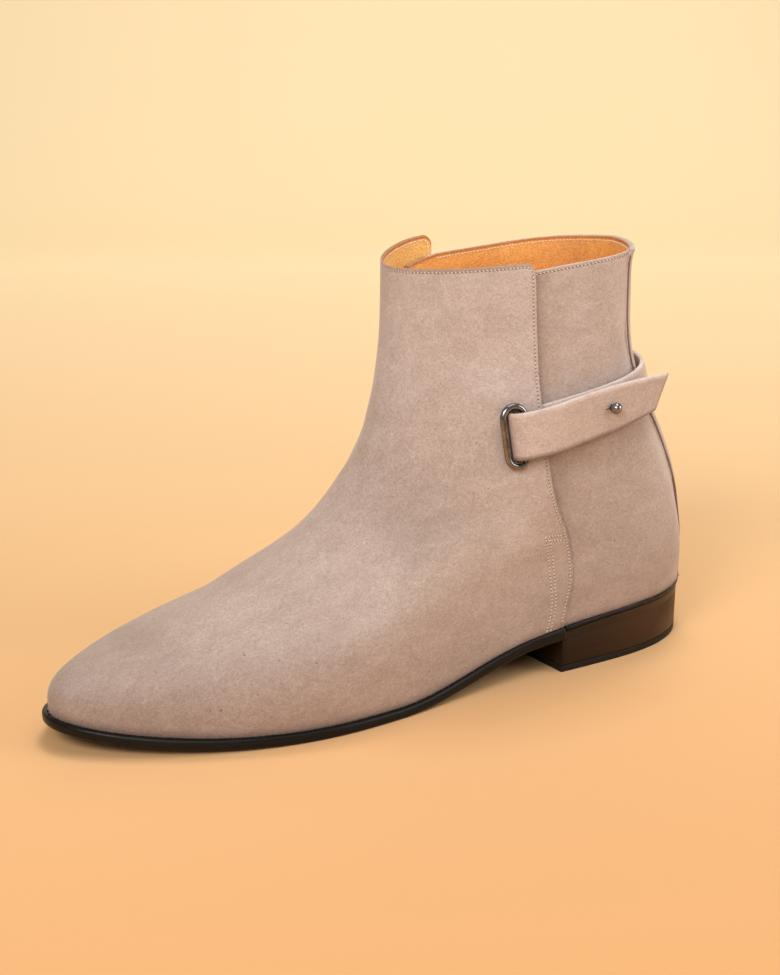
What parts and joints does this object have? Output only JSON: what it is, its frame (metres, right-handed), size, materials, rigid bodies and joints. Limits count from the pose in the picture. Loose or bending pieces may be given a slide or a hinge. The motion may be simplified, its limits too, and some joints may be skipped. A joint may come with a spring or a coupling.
{
  "type": "ankle boot",
  "caption": "Left suede ankle boot with an overlapping vamp, a strap round the ankle through an oblong slot ring, a ball stud and a low stacked heel",
  "frame": {"origin": "on the floor under the middle of the boot's bounding box", "axes": "toe towards -Y, lateral side towards +X, collar up +Z"},
  "size_m": [0.0914, 0.2934, 0.1739],
  "materials": {
    "suede": "napped suede, taupe",
    "lining_leather": "smooth tan lining leather",
    "sole_leather": "black dressed edge",
    "heel_stack": "dark brown polished stack",
    "heel_rubber": "matt black rubber",
    "metal": "polished gunmetal"
  },
  "bodies": {
    "root": {"upper": "suede", "insole": "lining_leather", "outsole": "sole_leather", "heel_rand": "sole_leather", "heel": "heel_stack", "heel_cap": "heel_rubber", "strap": "suede", "slot_eyelet": "metal", "stud": "metal"}
  },
  "joints": []
}
